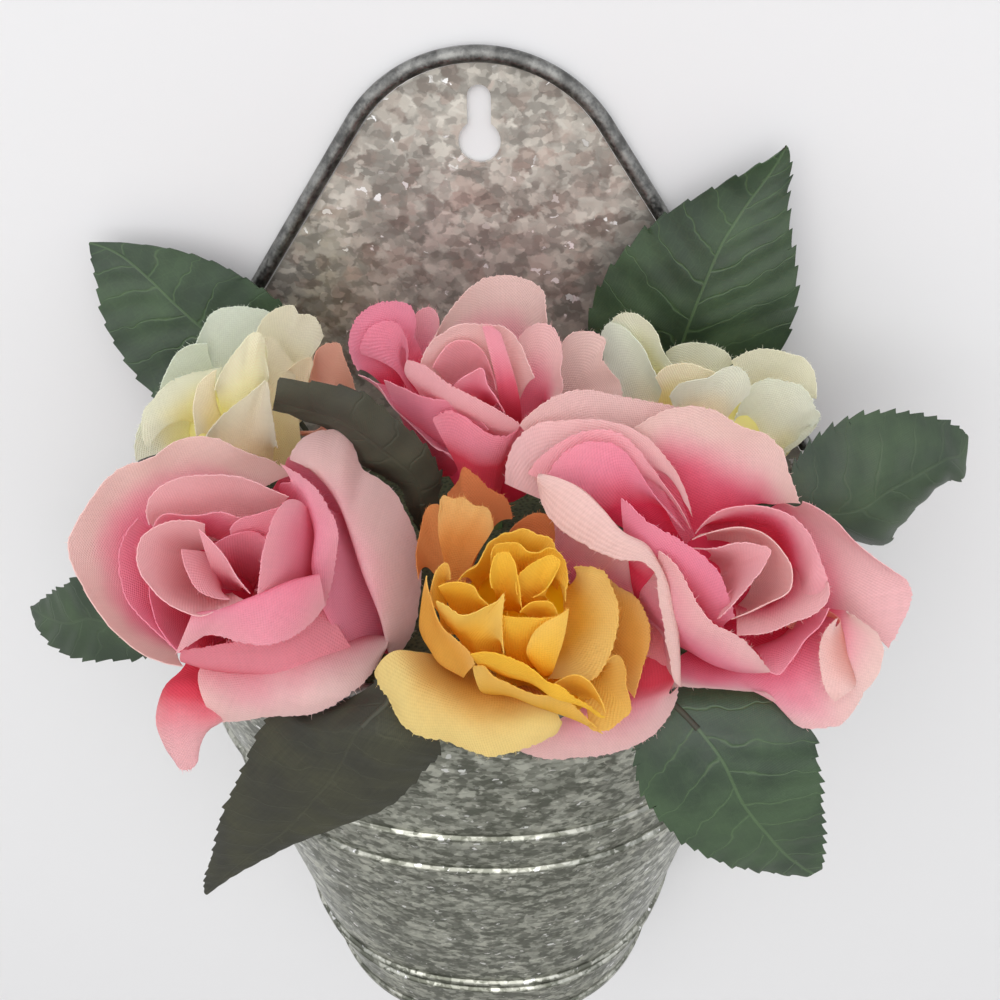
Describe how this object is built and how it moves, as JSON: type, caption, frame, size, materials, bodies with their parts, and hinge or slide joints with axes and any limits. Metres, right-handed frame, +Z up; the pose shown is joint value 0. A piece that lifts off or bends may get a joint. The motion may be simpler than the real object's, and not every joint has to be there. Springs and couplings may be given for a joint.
{
  "type": "cloth roses in a wall-hung tin",
  "caption": "Tapered half-round galvanised wall tin with an arched keyhole back plate, filled with foam and a bunch of cloth roses and serrated cloth leaves.",
  "frame": {"origin": "where the hanging screw sits, in the neck of the keyhole, on the wall's plane", "axes": "+Y into the wall, +Z up, the front faces -Y"},
  "size_m": [0.2396, 0.1182, 0.2922],
  "materials": {
    "galvanised_sheet": "spangled galvanised zinc",
    "galvanised_hem": "dull galvanised zinc",
    "foam": "matte",
    "pink_cloth": "woven, pale at the edges",
    "yellow_cloth": "woven",
    "cream_cloth": "woven",
    "stem_wrap": "matte",
    "leaf_cloth": "printed and embossed"
  },
  "bodies": {
    "root": {"back_plate": "galvanised_sheet", "plate_hem": "galvanised_hem", "tin_body": "galvanised_sheet", "rim_roll": "galvanised_hem", "tin_base": "galvanised_sheet", "foam_block": "foam", "rose_left": "pink_cloth", "rose_right": "pink_cloth", "rose_top": "pink_cloth", "rose_yellow": "yellow_cloth", "rose_cream_left": "cream_cloth", "rose_cream_right": "cream_cloth", "stem_left": "stem_wrap", "stem_right": "stem_wrap", "stem_top": "stem_wrap", "stem_yellow": "stem_wrap", "stem_cream_left": "stem_wrap", "stem_cream_right": "stem_wrap", "leaf_upper_left": "leaf_cloth", "leaf_upper_right": "leaf_cloth", "leaf_right": "leaf_cloth", "leaf_lower_right": "leaf_cloth", "leaf_lower_left": "leaf_cloth", "leaf_small_left": "leaf_cloth", "leaf_curled": "leaf_cloth"}
  },
  "joints": []
}
